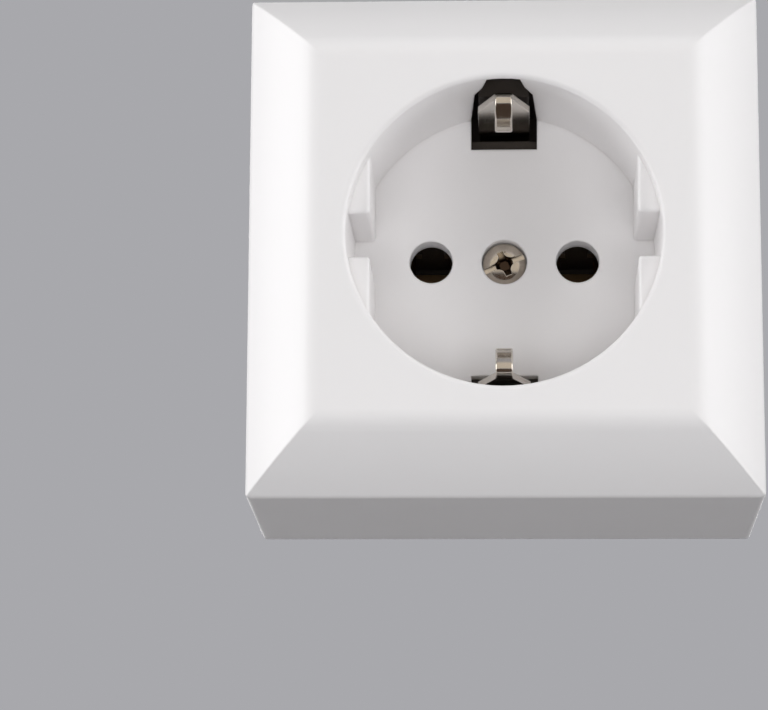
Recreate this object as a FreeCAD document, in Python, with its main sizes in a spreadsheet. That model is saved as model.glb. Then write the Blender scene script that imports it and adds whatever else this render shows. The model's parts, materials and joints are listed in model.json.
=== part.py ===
"""Surface-mounted type F wall socket as a parametric document.

The socket stands in its wall frame: the wall is the plane y = 0, the front looks along -Y, +X is to the right
and +Z is up. The origin is the centre of the back, on the wall. Heights are distances from the wall towards
the front, so a height of 10 lies at y = -10. Lengths are in millimetres.
"""
import FreeCAD, Part
import math
import operator
import os

import Sketcher
from FreeCAD import Vector

SIZES = [
    # Hood: outer form and walls
    ("hood_width", 65.0, "across the edge between bevel and side walls"),
    ("hood_depth", 40.5, "wall to front face"),
    ("hood_draft", 0.35, "growth of each side wall from that edge to the wall"),
    ("hood_wall", 2.0, "thickness of walls, bevel and front"),
    ("bevel_width", 8.0, "bevel, seen from the front"),
    ("bevel_depth", 7.9, "bevel, seen from the side"),
    ("bevel_bow", 8.0, "degrees that the bevel bows out either way"),
    ("flat_round", 4.2, "rounding between flat front and bevel"),
    ("edge_round", 1.6, "rounding between bevel and side walls"),
    ("side_corner", 0.7, "corner radius between the side walls"),
    ("inner_corner", 0.5, "corner radius of the hollow inside"),
    # Plug recess
    ("recess_radius", 19.75, "at the mouth"),
    ("recess_draft", 0.2, "smaller radius at the floor"),
    ("recess_depth", 17.4, "front face to recess floor"),
    ("recess_wall", 1.6, "thickness of the round wall"),
    ("recess_floor", 2.2, "thickness of the floor"),
    ("rim_round", 0.6, "rounding of the mouth"),
    ("guide_offset", 16.8, "middle of the recess to the straight guide wall"),
    ("guide_drop", 2.5, "front face to the guides' front"),
    ("guide_round", 0.45, "rounding of the guides' edges"),
    ("notch_height", 5.6, "notch in each guide"),
    # Pin holes and the well of the cover screw
    ("pin_spacing", 19.0, "between the two pins"),
    ("pin_hole", 5.6, "diameter of the pin holes"),
    ("pin_length", 19.0, "plug pin beyond the recess floor"),
    ("collar_wall", 1.0, "collar behind each pin hole"),
    ("collar_length", 1.2, "collar beyond the floor"),
    ("well_clearance", 0.15, "around the screw head"),
    ("well_wall", 1.4, "around the screw well"),
    ("seat_thickness", 1.3, "below the screw head"),
    ("column_radius", 3.6, "column that carries the hood on the base"),
    # Windows of the earth clips, measured from the front face
    ("window_start", 0.9, "front face to the window"),
    ("window_top", 4.2, "width at the front end"),
    ("window_knee", 4.2, "front face to the first knee"),
    ("window_mid", 5.4, "width at the first knee"),
    ("window_hip", 6.6, "front face to the second knee"),
    ("window_wide", 7.4, "width at the second knee"),
    ("window_foot", 8.6, "width at the floor"),
    ("window_inner", 15.1, "middle of the recess to the cut-out's inner edge"),
    # Inside of the hood
    ("rib_thickness", 1.2, "stiffening ribs beside the recess"),
    ("rib_offset", 9.0, "ribs above and below the middle"),
    ("rib_length", 12.0, "ribs behind the front"),
    ("knockout_width", 13.0, "thinned cable entry in the top wall"),
    ("knockout_skin", 0.9, "wall left at the cable entry"),
    # Back plate, contact block, retainer and their fits
    ("plate_gap", 0.35, "between back plate and hood wall"),
    ("plate_thickness", 2.6, "back plate"),
    ("plate_corner", 1.5, "corner radius of the back plate"),
    ("plate_boss", 2.2, "radius of the bosses for the long screws"),
    ("plate_boss_height", 5.0, "bosses above the back plate"),
    ("boss_gap", 0.15, "block around the bosses"),
    ("slot_margin", 5.5, "plate edge to the middle of a wall-screw slot"),
    ("slot_width", 4.4, "wall-screw slots"),
    ("slot_length", 7.6, "wall-screw slots, end to end"),
    ("entry_width", 11.0, "rear cable openings"),
    ("entry_height", 14.0, "rear cable openings"),
    ("entry_side", 3.0, "plate edge to a rear cable opening, sideways"),
    ("entry_top", 5.5, "plate edge to a rear cable opening, from above"),
    ("entry_corner", 2.0, "corner radius of the rear cable openings"),
    ("retainer_gap", 0.3, "between recess floor and retainer"),
    ("retainer_thickness", 2.0, "thickness of the retainer"),
    ("retainer_fit", 0.25, "around collars and screw well"),
    ("arm_width", 10.4, "retainer arms towards the earth clips"),
    ("arm_gap", 0.7, "retainer arm to earth clip"),
    ("deck_rim", 1.2, "deck beyond the bosses"),
    ("deck_wall", 3.0, "deck wall beside the contact chambers"),
    ("shelf_drop", 4.8, "retainer seat to the terminal shelf"),
    ("shelf_width", 29.0, "terminal shelf"),
    ("divider_thickness", 1.0, "dividers beside the earth strap"),
    ("divider_gap", 0.6, "divider to earth strap"),
    ("chamber_gap", 0.3, "around each contact"),
    ("tower_width", 12.4, "stay behind each earth clip"),
    ("tower_thickness", 1.8, "stay behind each earth clip"),
    ("tower_gap", 0.6, "stay to the round wall and the hood"),
    ("tower_rib", 6.4, "width of the stay's rib in the window"),
    ("tower_rib_drop", 8.2, "front face to the rib's front"),
    # Brass contacts and their springs
    ("contact_sheet", 0.7, "thickness of the brass strip"),
    ("contact_width", 6.0, "width of the fork leaves"),
    ("contact_root", 7.8, "fork across its root"),
    ("contact_pinch", 4.4, "fork between its leaves where they grip"),
    ("contact_mouth", 6.2, "fork between its leaves at the mouth"),
    ("contact_lip", 1.8, "width of the fork leaves at the mouth"),
    ("pinch_drop", 3.3, "retainer seat to the grip"),
    ("mouth_drop", 0.6, "retainer seat to the fork's mouth"),
    ("root_rise", 2.4, "straight foot of the leaves"),
    ("tail_width", 4.4, "strip from the fork to its terminal tab"),
    ("tail_gap", 1.2, "fork leaves to that strip"),
    ("spring_sheet", 0.4, "thickness of the grip spring"),
    ("spring_width", 2.2, "grip spring"),
    ("spring_gap", 0.08, "grip spring around the leaves"),
    ("spring_mouth", 3.0, "open side of the grip spring"),
    # Terminals
    ("terminal_offset", 11.6, "middle of the base to the terminal screws"),
    ("tab_width", 6.8, "terminal tabs"),
    ("tab_margin", 3.6, "tab beyond its screw"),
    ("clamp_sheet", 0.8, "thickness of the clamp plates"),
    ("clamp_length", 6.4, "clamp plates along the tab"),
    ("clamp_gap", 0.1, "clamp wings beside the tab"),
    ("clamp_wing", 0.5, "wings below the plate"),
    ("thread_radius", 1.7, "plain core of the terminal and cover screws"),
    ("thread_gap", 0.06, "nut around the screw"),
    ("pass_gap", 0.3, "holes that the screws pass"),
    ("head_radius", 3.0, "terminal screw heads"),
    ("head_height", 2.2, "terminal screw heads"),
    ("head_slot", 0.9, "slot in the terminal screw heads"),
    ("head_slot_depth", 1.1, "slot in the terminal screw heads"),
    ("terminal_reach", 8.0, "terminal screws below their heads"),
    ("nut_width", 6.0, "square nuts"),
    ("nut_height", 2.0, "square nuts"),
    ("nut_gap", 0.15, "pocket around a nut"),
    # Earth bracket and its rivets
    ("strap_sheet", 0.8, "thickness of the earth bracket"),
    ("strap_width", 6.6, "earth bracket"),
    ("clip_offset", 18.0, "middle of the recess to the clips' sheet"),
    ("clip_bend", 0.8, "inner radius where strap turns into clip"),
    ("shoulder_drop", 8.7, "front face to the clips' shoulders"),
    ("nose_width", 2.2, "spring nose of the clips"),
    ("nose_top", 1.6, "front face to the nose's fold"),
    ("nose_fold", 0.9, "fold radius, at mid sheet"),
    ("nose_tip", 14.05, "middle of the recess to the nose"),
    ("nose_round", 1.4, "tip radius, at mid sheet"),
    ("nose_slope", 52.0, "degrees that the nose slopes back into the recess"),
    ("nose_bow", 20.0, "degrees that the slope bows either way"),
    ("nose_curl", 95.0, "degrees that the nose turns at its tip"),
    ("nose_end", 2.2, "free end beyond the tip"),
    ("nose_edge", 0.25, "rounding of the nose's long edges"),
    ("rivet_offset", 9.3, "middle of the base to the rivets"),
    ("rivet_radius", 1.25, "rivet shank"),
    ("rivet_head", 2.3, "rivet head radius"),
    ("rivet_rim", 0.6, "rivet head and tail thickness"),
    ("rivet_bore", 0.7, "rivet's own bore"),
    ("rivet_grip", 3.0, "base under the strap at the rivets"),
    ("rivet_gap", 0.1, "around the rivet shank"),
    ("rivet_room", 3.6, "radius of the well behind a rivet"),
    # Cover screw and retainer screws
    ("cover_head", 2.8, "head radius"),
    ("cover_sink", 0.7, "recess floor to the head's dome"),
    ("cover_rim", 1.3, "straight side of the head"),
    ("cover_dome", 0.8, "dome above that side"),
    ("cover_reach", 12.0, "screw below its head"),
    ("cover_turn", 22.0, "degrees that the slot is turned"),
    ("cover_slot", 0.7, "slot width"),
    ("cover_slot_depth", 0.9, "slot depth below the dome's top"),
    ("cross_reach", 1.85, "cross, middle to arm end"),
    ("cross_arm", 0.42, "half the width of a cross arm"),
    ("cross_round", 1.0, "inner corners of the cross"),
    ("cross_foot", 0.6, "cross at its bottom, middle to arm end"),
    ("cross_foot_round", 0.12, "inner corners of the cross at its bottom"),
    ("cross_depth", 1.7, "cross below the dome's top"),
    ("keeper_spacing", 34.4, "between the retainer screws"),
    ("keeper_head", 2.2, "head radius"),
    ("keeper_height", 1.2, "head height"),
    ("keeper_radius", 1.1, "plain core"),
    ("keeper_bite", 3.0, "screw in the boss of the back plate"),
    ("keeper_slot", 0.6, "slot width and depth"),
    ("keeper_gap", 0.1, "boss around the core"),
]

OPERATIONS = {"+": operator.add, "-": operator.sub, "*": operator.mul, "/": operator.truediv}


class Size:
    """A number from the sheet, kept together with the expression that gives it."""

    def __init__(self, value, text):
        self.value = value
        self.text = text

    def __add__(self, other):
        return combined(self, "+", other)

    def __radd__(self, other):
        return combined(other, "+", self)

    def __sub__(self, other):
        return combined(self, "-", other)

    def __rsub__(self, other):
        return combined(other, "-", self)

    def __mul__(self, other):
        return combined(self, "*", other)

    def __rmul__(self, other):
        return combined(other, "*", self)

    def __truediv__(self, other):
        return combined(self, "/", other)

    def __neg__(self):
        return combined(0, "-", self)


def as_size(number):
    return number if isinstance(number, Size) else Size(float(number), f"{float(number)}")


def combined(left, sign, right):
    left = as_size(left)
    right = as_size(right)
    return Size(OPERATIONS[sign](left.value, right.value), f"({left.text} {sign} {right.text})")


def root(size):
    return Size(math.sqrt(size.value), f"sqrt({size.text})")


def sine(degrees):
    return Size(math.sin(math.radians(degrees.value)), f"sin({degrees.text})")


def cosine(degrees):
    return Size(math.cos(math.radians(degrees.value)), f"cos({degrees.text})")


def smaller(first, second):
    return Size(min(first.value, second.value), f"min({first.text}; {second.text})")


def half_turn(across, along):
    """Tangent of half the angle whose tangent is across / along."""
    angle = math.atan2(across.value, along.value)
    return Size(math.tan(angle / 2), f"tan(atan({across.text} / {along.text}) / 2)")


def bearing(across, along):
    """Degrees of the angle whose tangent is across / along."""
    angle = math.atan2(across.value, along.value)
    return Size(math.degrees(angle), f"(atan({across.text} / {along.text}) / 1 deg)")


def fill_sheet(sheet):
    """Writes every driving size into the sheet and returns them by name."""
    named = {}
    for row, (name, number, note) in enumerate(SIZES, start=1):
        sheet.set(f"A{row}", name)
        sheet.set(f"B{row}", str(number))
        sheet.setAlias(f"B{row}", name)
        sheet.set(f"C{row}", note)
        named[name] = Size(number, f"Sizes.{name}")
    return named


doc = FreeCAD.newDocument("WallSocket")
sheet = doc.addObject("Spreadsheet::Sheet", "Sizes")
size = fill_sheet(sheet)
doc.recompute()

# Levels above the wall, from the front face inwards
face = size["hood_depth"]
edge_level = face - size["bevel_depth"]
guide_level = face - size["guide_drop"]
floor_front = face - size["recess_depth"]
floor_back = floor_front - size["recess_floor"]
retainer_front = floor_back - size["retainer_gap"]
deck = retainer_front - size["retainer_thickness"]
shelf = deck - size["shelf_drop"]
strap_front = shelf + size["strap_sheet"]
chamber_floor = size["plate_thickness"]
boss_top = size["plate_thickness"] + size["plate_boss_height"]
keeper_tip = boss_top - size["keeper_bite"]
cover_top = floor_front - size["cover_sink"]
cover_seat = cover_top - size["cover_dome"] - size["cover_rim"]

# Half widths and radii that several pieces share
edge_half = size["hood_width"] / 2
back_half = edge_half + size["hood_draft"]
wall_lean = bearing(size["hood_draft"], edge_level)
plate_half = back_half - size["hood_wall"] - size["plate_gap"]
flat_half = edge_half - size["bevel_width"]
recess_foot = size["recess_radius"] - size["recess_draft"]
bowl_radius = size["recess_radius"] + size["recess_wall"]
well_radius = size["cover_head"] + size["well_clearance"]
boss_radius = well_radius + size["well_wall"]
collar_radius = size["pin_hole"] / 2 + size["collar_wall"]
pin_half = size["pin_spacing"] / 2
pass_radius = size["thread_radius"] + size["pass_gap"]
strap_half = size["strap_width"] / 2
clip_inner = size["clip_offset"] - size["strap_sheet"] / 2
clip_outer = size["clip_offset"] + size["strap_sheet"] / 2
chamber_x = size["contact_root"] / 2 + size["chamber_gap"]
spring_reach = size["spring_gap"] + size["spring_sheet"]
chamber_z = size["contact_width"] / 2 + spring_reach + size["chamber_gap"]
tail_back = size["contact_width"] / 2 + size["tail_gap"] + size["contact_sheet"]
boss_room = size["plate_boss"] + size["boss_gap"]
deck_x = size["keeper_spacing"] / 2 + boss_room + size["deck_rim"]
deck_z = chamber_z + size["deck_wall"]
tab_end = size["terminal_offset"] + size["tab_margin"]
tower_inner = bowl_radius + size["tower_gap"]
tower_outer = tower_inner + size["tower_thickness"]


def new_body(name):
    body = doc.addObject("PartDesign::Body", name)
    body.Label = name
    return body


def place(item, x=0, height=0, z=0):
    """Moves a body to a place whose coordinates stay bound to the sheet."""
    for axis, distance in (("x", x), ("y", -as_size(height)), ("z", z)):
        item.setExpression(f"Placement.Base.{axis}", as_size(distance).text)


def new_sketch(body, role, name, offset=0):
    """Sketch on one of the body's own planes. On XZ_Plane the offset is a height above the wall."""
    sketch = body.newObject("Sketcher::SketchObject", name)
    plane = [feature for feature in body.Origin.OriginFeatures if feature.Role == role][0]
    sketch.AttachmentSupport = [(plane, "")]
    sketch.MapMode = "FlatFace"
    sketch.setExpression("AttachmentOffset.Base.z", as_size(offset).text)
    return sketch


def bind(sketch, constraint, distance):
    number = sketch.addConstraint(constraint)
    sketch.setExpression(f"Constraints[{number}]", distance.text)


def hold(sketch, edge, end, x, y):
    """Holds one end of an edge at x, y from the sketch's origin."""
    for kind, distance in (("DistanceX", as_size(x)), ("DistanceY", as_size(y))):
        bind(sketch, Sketcher.Constraint(kind, -1, 1, edge, end, distance.value), distance)


def arc_between(start, end, radius, side):
    """Arc from start to end whose centre lies to the left (side 1) or the right (side -1) of that way."""
    way = end - start
    across = Vector(-way.y, way.x, 0) * (side / way.Length)
    rise = math.sqrt(max(radius * radius - way.Length * way.Length / 4, 0))
    centre = (start + end) * 0.5 + across * rise
    turn = Vector(0, 0, 1) if side > 0 else Vector(0, 0, -1)
    middle = centre - across * radius
    return Part.Arc(start, middle, end), turn


def outline(sketch, corners):
    """Closed outline. A corner is x, y, or x, y, radius, side where the edge that leaves it is an arc."""
    first = sketch.GeometryCount
    count = len(corners)
    places = [Vector(as_size(corner[0]).value, as_size(corner[1]).value, 0) for corner in corners]
    ends = []
    for index, corner in enumerate(corners):
        start = places[index]
        end = places[(index + 1) % count]
        if len(corner) == 2:
            sketch.addGeometry(Part.LineSegment(start, end), False)
            ends.append((1, 2))
        else:
            arc, turn = arc_between(start, end, corner[2].value, corner[3])
            sketch.addGeometry(arc, False)
            ends.append((1, 2) if turn.z > 0 else (2, 1))
    for index in range(count):
        following = (index + 1) % count
        last = ends[index][1]
        next_first = ends[following][0]
        joint = Sketcher.Constraint("Coincident", first + index, last, first + following, next_first)
        sketch.addConstraint(joint)
    for index, corner in enumerate(corners):
        hold(sketch, first + index, ends[index][0], corner[0], corner[1])
        if len(corner) == 4:
            chord = places[(index + 1) % count] - places[index]
            size_arc(sketch, first + index, corner, chord)


def size_arc(sketch, edge, corner, chord):
    """Sizes an arc by its radius. A half circle is held by its centre, level with the end it leaves from."""
    x, y, radius = [as_size(number) for number in corner[:3]]
    if chord.Length < radius.value * 1.999:
        bind(sketch, Sketcher.Constraint("Radius", edge, radius.value), radius)
    elif abs(chord.x) > abs(chord.y):
        bind(sketch, Sketcher.Constraint("DistanceY", -1, 1, edge, 3, y.value), y)
    else:
        bind(sketch, Sketcher.Constraint("DistanceX", -1, 1, edge, 3, x.value), x)


def rectangle(sketch, low_x, high_x, low_y, high_y):
    outline(sketch, [(low_x, low_y), (high_x, low_y), (high_x, high_y), (low_x, high_y)])


def rounded_rectangle(sketch, middle_x, middle_y, half_x, half_y, corner):
    left = middle_x - half_x
    right = middle_x + half_x
    low = middle_y - half_y
    high = middle_y + half_y
    outline(sketch, [
        (left + corner, low), (right - corner, low, corner, 1),
        (right, low + corner), (right, high - corner, corner, 1),
        (right - corner, high), (left + corner, high, corner, 1),
        (left, high - corner), (left, low + corner, corner, 1),
    ])


def slot(sketch, middle_x, middle_y, length, width):
    """Slot along x with round ends."""
    radius = width / 2
    reach = length / 2 - radius
    outline(sketch, [
        (middle_x - reach, middle_y - radius), (middle_x + reach, middle_y - radius, radius, 1),
        (middle_x + reach, middle_y + radius), (middle_x - reach, middle_y + radius, radius, 1),
    ])


def circle(sketch, x, y, radius):
    x = as_size(x)
    y = as_size(y)
    edge = sketch.addGeometry(Part.Circle(Vector(x.value, y.value, 0), Vector(0, 0, 1), radius.value), False)
    hold(sketch, edge, 3, x, y)
    bind(sketch, Sketcher.Constraint("Radius", edge, radius.value), radius)


def extrude(kind, body, sketch, length, name, back=False, both=False):
    feature = body.newObject(f"PartDesign::{kind}", name)
    feature.Profile = sketch
    feature.setExpression("Length", length.text)
    feature.Reversed = back
    if both:
        feature.SideType = "Symmetric"
    return feature


def pad(body, sketch, length, name, back=False, both=False):
    """Adds the outline's prism, along the sketch's normal unless back is set."""
    return extrude("Pad", body, sketch, length, name, back, both)


def pocket(body, sketch, length, name, back=False, both=False):
    """Cuts the outline's prism against the sketch's normal, or along it where back is set."""
    before = volume_of(body)
    feature = extrude("Pocket", body, sketch, length, name, back, both)
    check_cut(body, name, before)
    return feature


def revolve(kind, body, sketch, name):
    feature = body.newObject(f"PartDesign::{kind}", name)
    feature.Profile = sketch
    feature.ReferenceAxis = (sketch, ["V_Axis"])
    feature.Angle = 360
    return feature


def groove(body, sketch, name):
    before = volume_of(body)
    feature = revolve("Groove", body, sketch, name)
    check_cut(body, name, before)
    return feature


def loft(kind, body, sketches, name):
    feature = body.newObject(f"PartDesign::{kind}", name)
    feature.Profile = sketches[0]
    feature.Sections = sketches[1:]
    feature.Ruled = True
    return feature


def volume_of(body):
    doc.recompute()
    return body.Shape.Volume


def check_cut(body, name, before):
    after = volume_of(body)
    if not after < before:
        raise ValueError(f"{name} of {body.Label} cut nothing")


def round_edges(body, radius, name, wanted):
    """Rounds the edges of the body's last feature for which wanted(edge) is true."""
    doc.recompute()
    base = body.Tip
    chosen = [f"Edge{number}" for number, edge in enumerate(base.Shape.Edges, start=1) if wanted(edge)]
    if not chosen:
        raise ValueError(f"{name} of {body.Label} found no edge")
    feature = body.newObject("PartDesign::Fillet", name)
    feature.Base = (base, chosen)
    feature.setExpression("Radius", radius.text)
    return feature


def near(number, target):
    return abs(number - target) < 0.001


def level_edge(edge, height):
    """True for an edge that lies wholly at one height above the wall."""
    return near(edge.BoundBox.YMin, -height.value) and near(edge.BoundBox.YMax, -height.value)


def bevel_profile(stock):
    """Outline of what a bevel cuts from the stock: soft edge, bowed bevel, soft edge, and back outside.

    Corners are (distance from the middle, height), with the radius of the arc that leaves them if it is one.
    Angles are the profile's lean from upright towards the middle. The bow's chord lies on the plain bevel.
    """
    bevel = bearing(size["bevel_width"], size["bevel_depth"])
    leave = bevel - size["bevel_bow"]
    arrive = bevel + size["bevel_bow"]
    edge_arc = size["edge_round"]
    # The flat's soft edge is limited by the land that is left beside the rounded mouth of the recess
    land = flat_half - size["recess_radius"] - size["rim_round"]
    arc_share = cosine(arrive) - (1 - sine(arrive)) * sine(bevel) / cosine(bevel)
    flat_arc = smaller(size["flat_round"], land / (2 * arc_share))
    # How far the two soft edges reach, first sideways and up, then along the faces on both sides of them
    edge_in = edge_arc * (cosine(wall_lean) - cosine(leave))
    edge_up = edge_arc * (sine(leave) - sine(wall_lean))
    turn = sine(bevel - wall_lean)
    on_wall = (edge_up * sine(bevel) - edge_in * cosine(bevel)) / turn
    above_edge = (edge_in * cosine(wall_lean) - edge_up * sine(wall_lean)) / turn
    below_flat = flat_arc * (1 - sine(arrive)) / cosine(bevel)
    on_flat = flat_arc * cosine(arrive) - below_flat * sine(bevel)
    chord = root(size["bevel_width"] * size["bevel_width"] + size["bevel_depth"] * size["bevel_depth"])
    bow = (chord - above_edge - below_flat) / (2 * sine(size["bevel_bow"]))
    foot = edge_level - on_wall * cosine(wall_lean)
    return [
        (edge_half + on_wall * sine(wall_lean), foot, edge_arc),
        (edge_half - above_edge * sine(bevel), edge_level + above_edge * cosine(bevel), bow),
        (flat_half + below_flat * sine(bevel), face - below_flat * cosine(bevel), flat_arc),
        (flat_half - on_flat, face),
        (stock, face),
        (stock, foot),
    ]


def make_shell(body):
    """Drafted square stock, bevelled alike on all four sides so that the bevels meet in crisp mitres."""
    square = new_sketch(body, "XZ_Plane", "BackOutline")
    rectangle(square, -back_half, back_half, -back_half, back_half)
    stock = pad(body, square, face, "Stock")
    stock.setExpression("TaperAngle", f"-1 deg * {wall_lean.text}")

    def on_corner(edge):
        middle = edge.CenterOfMass
        return near(abs(middle.x), abs(middle.z)) and edge.BoundBox.YLength > edge_level.value

    round_edges(body, size["side_corner"], "SideCorners", on_corner)
    profile = bevel_profile(back_half + size["hood_wall"])
    sides = new_sketch(body, "XY_Plane", "SideBevels")
    ends = new_sketch(body, "YZ_Plane", "EndBevels")
    for side in (1, -1):
        outline(sides, [(out * side, -level) + bend(arc, -side) for out, level, *arc in profile])
        outline(ends, [(-level, out * side) + bend(arc, side) for out, level, *arc in profile])
    length = 2 * (back_half + size["hood_wall"])
    pocket(body, sides, length, "LeftAndRight", both=True)
    pocket(body, ends, length, "TopAndBottom", both=True)


def bend(arc, side):
    """Radius and side of an outline's arc, or nothing for a straight run."""
    return (arc[0], side) if arc else ()


def hood_section(body, name, height, half, corner):
    sketch = new_sketch(body, "XZ_Plane", name, height)
    rounded_rectangle(sketch, as_size(0), as_size(0), half, half, corner)
    return sketch


def make_hood():
    """White moulding: bevelled shell, plug recess with guides, windows, pin holes and screw column."""
    body = new_body("socket_hood")
    wall = size["hood_wall"]
    make_shell(body)
    # The hollow follows the shell one wall further in
    inner_edge_level = edge_level - wall * half_turn(size["bevel_width"], size["bevel_depth"])
    inner_flat_half = flat_half - wall * half_turn(size["bevel_depth"], size["bevel_width"])
    inner = [
        hood_section(body, "BackHollow", 0, back_half - wall, size["inner_corner"] + size["hood_draft"]),
        hood_section(body, "EdgeHollow", inner_edge_level, edge_half - wall, size["inner_corner"]),
        hood_section(body, "FlatHollow", face - wall, inner_flat_half, size["inner_corner"]),
    ]
    loft("SubtractiveLoft", body, inner, "Hollow")
    # Bowl of the recess with the screw boss and the column behind it
    bowl = new_sketch(body, "XY_Plane", "BowlProfile")
    boss_back = cover_seat - size["seat_thickness"]
    outline(bowl, [
        (0, -strap_front),
        (size["column_radius"], -strap_front),
        (size["column_radius"], -boss_back),
        (boss_radius, -boss_back),
        (boss_radius, -floor_back),
        (recess_foot + size["recess_wall"], -floor_back),
        (bowl_radius, wall / 2 - face),
        (0, wall / 2 - face),
    ])
    revolve("Revolution", body, bowl, "Bowl")
    make_ribs(body)
    collars = new_sketch(body, "XZ_Plane", "CollarOutline", floor_back)
    for side in (1, -1):
        circle(collars, pin_half * side, 0, collar_radius)
    pad(body, collars, size["collar_length"], "Collars", back=True)
    recess = new_sketch(body, "XY_Plane", "RecessProfile")
    outline(recess, [
        (0, -floor_front), (recess_foot, -floor_front), (size["recess_radius"], -face), (0, -face),
    ])
    groove(body, recess, "Recess")
    make_guides(body)
    make_windows(body)
    well = new_sketch(body, "XY_Plane", "WellProfile")
    outline(well, [
        (0, -floor_front),
        (well_radius, -floor_front),
        (well_radius, -cover_seat),
        (pass_radius, -cover_seat),
        (pass_radius, -strap_front),
        (0, -strap_front),
    ])
    groove(body, well, "ScrewWell")
    holes = new_sketch(body, "XZ_Plane", "PinHoles", floor_front)
    for side in (1, -1):
        circle(holes, pin_half * side, 0, size["pin_hole"] / 2)
    pocket(body, holes, size["recess_floor"] + size["collar_length"], "PinHolePair")
    # Cable entry: the top wall is thinned from inside, arched like the cable
    entry = new_sketch(body, "XY_Plane", "KnockoutOutline", edge_half - size["knockout_skin"])
    arch = size["knockout_width"] / 2
    outline(entry, [(-arch, 0), (arch, 0), (arch, -arch, arch, -1), (-arch, -arch)])
    pocket(body, entry, wall, "Knockout")
    round_hood(body)
    return body


def make_ribs(body):
    """Stiffening ribs from the bowl to the side walls, under the front and the bevel."""
    inset = size["hood_wall"] / 2
    reach = size["recess_radius"] + size["recess_wall"] / 2
    start = root(reach * reach - size["rib_offset"] * size["rib_offset"])
    end = edge_half - inset
    foot = face - size["rib_length"]
    under_edge = edge_level - inset * half_turn(size["bevel_width"], size["bevel_depth"])
    under_flat = flat_half - inset * half_turn(size["bevel_depth"], size["bevel_width"])
    corners = [
        (start, foot), (end, foot), (end, under_edge), (under_flat, face - inset), (start, face - inset),
    ]
    for tier, name in ((1, "Upper"), (-1, "Lower")):
        sketch = new_sketch(body, "XY_Plane", f"{name}RibOutline", size["rib_offset"] * tier)
        for side in (1, -1):
            outline(sketch, [(x * side, -level) for x, level in corners])
        pad(body, sketch, size["rib_thickness"], f"{name}Ribs", both=True)


def make_guides(body):
    """Two guide segments in the recess, each split by a notch: four pads with one corner each."""
    sketch = new_sketch(body, "XZ_Plane", "GuideOutline", floor_front)
    reach = size["recess_radius"] + size["recess_wall"] / 2
    start = size["notch_height"] / 2
    at_notch = root(reach * reach - start * start)
    at_chord = root(reach * reach - size["guide_offset"] * size["guide_offset"])
    for side in (1, -1):
        for tier in (1, -1):
            outline(sketch, [
                (size["guide_offset"] * side, start * tier),
                (at_notch * side, start * tier, reach, side * tier),
                (size["guide_offset"] * side, at_chord * tier),
            ])
    pad(body, sketch, size["recess_depth"] - size["guide_drop"], "Guides")


def make_windows(body):
    """Openings for the earth clips: through the round wall and on through the floor."""
    half = [size[name] / 2 for name in ("window_top", "window_mid", "window_wide", "window_foot")]
    drop = [size[name] for name in ("window_start", "window_knee", "window_hip", "recess_depth")]
    under = floor_back - size["collar_length"]
    right = [(width, depth - face) for width, depth in zip(half, drop)] + [(half[-1], -under)]
    left = [(-width, level) for width, level in reversed(right)]
    for side, name in ((1, "UpperWindow"), (-1, "LowerWindow")):
        sketch = new_sketch(body, "XY_Plane", f"{name}Outline", size["window_inner"] * side)
        outline(sketch, right + left)
        pocket(body, sketch, tower_inner - size["window_inner"], name, back=side > 0)


def round_hood(body):
    """Soft edges of the recess: its mouth and the guides."""
    def on_mouth(edge):
        return level_edge(edge, face) and near(edge.BoundBox.XMax, size["recess_radius"].value)

    def on_guide(edge):
        at_chord = near(abs(edge.CenterOfMass.x), size["guide_offset"].value)
        at_notch = near(abs(edge.CenterOfMass.z), size["notch_height"].value / 2)
        inside = abs(edge.CenterOfMass.x) < size["recess_radius"].value
        at_front = level_edge(edge, guide_level)
        along_depth = near(edge.BoundBox.YLength, (guide_level - floor_front).value)
        return inside and (at_front and (at_chord or at_notch) or along_depth and at_chord and at_notch)

    round_edges(body, size["rim_round"], "Mouth", on_mouth)
    round_edges(body, size["guide_round"], "GuideEdges", on_guide)


def make_back_plate():
    """Flat back of the socket: wall-screw slots, cable openings and two bosses for the long screws."""
    body = new_body("back_plate")
    plate = new_sketch(body, "XZ_Plane", "PlateOutline")
    rounded_rectangle(plate, as_size(0), as_size(0), plate_half, plate_half, size["plate_corner"])
    pad(body, plate, size["plate_thickness"], "Plate")
    bosses = new_sketch(body, "XZ_Plane", "BossOutline")
    pilots = new_sketch(body, "XZ_Plane", "PilotHoles", boss_top)
    slots = new_sketch(body, "XZ_Plane", "SlotOutline", size["plate_thickness"])
    entries = new_sketch(body, "XZ_Plane", "EntryOutline", size["plate_thickness"])
    wells = new_sketch(body, "XZ_Plane", "RivetWells", size["plate_thickness"])
    entry_x = plate_half - size["entry_side"] - size["entry_width"] / 2
    entry_z = plate_half - size["entry_top"] - size["entry_height"] / 2
    for side in (1, -1):
        circle(bosses, size["keeper_spacing"] / 2 * side, 0, size["plate_boss"])
        circle(pilots, size["keeper_spacing"] / 2 * side, 0, size["keeper_radius"] + size["keeper_gap"])
        slot_x = (plate_half - size["slot_margin"]) * side
        slot(slots, slot_x, as_size(0), size["slot_length"], size["slot_width"])
        rounded_rectangle(
            entries, entry_x * side, entry_z,
            size["entry_width"] / 2, size["entry_height"] / 2, size["entry_corner"],
        )
        circle(wells, 0, size["rivet_offset"] * side, size["rivet_room"])
    pad(body, bosses, boss_top, "Bosses")
    pocket(body, pilots, size["keeper_bite"] + size["pass_gap"], "PilotHolePair")
    pocket(body, slots, size["plate_thickness"], "WallSlots")
    pocket(body, entries, size["plate_thickness"], "CableOpenings")
    pocket(body, wells, size["plate_thickness"], "RivetWellPair")
    return body


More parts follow.
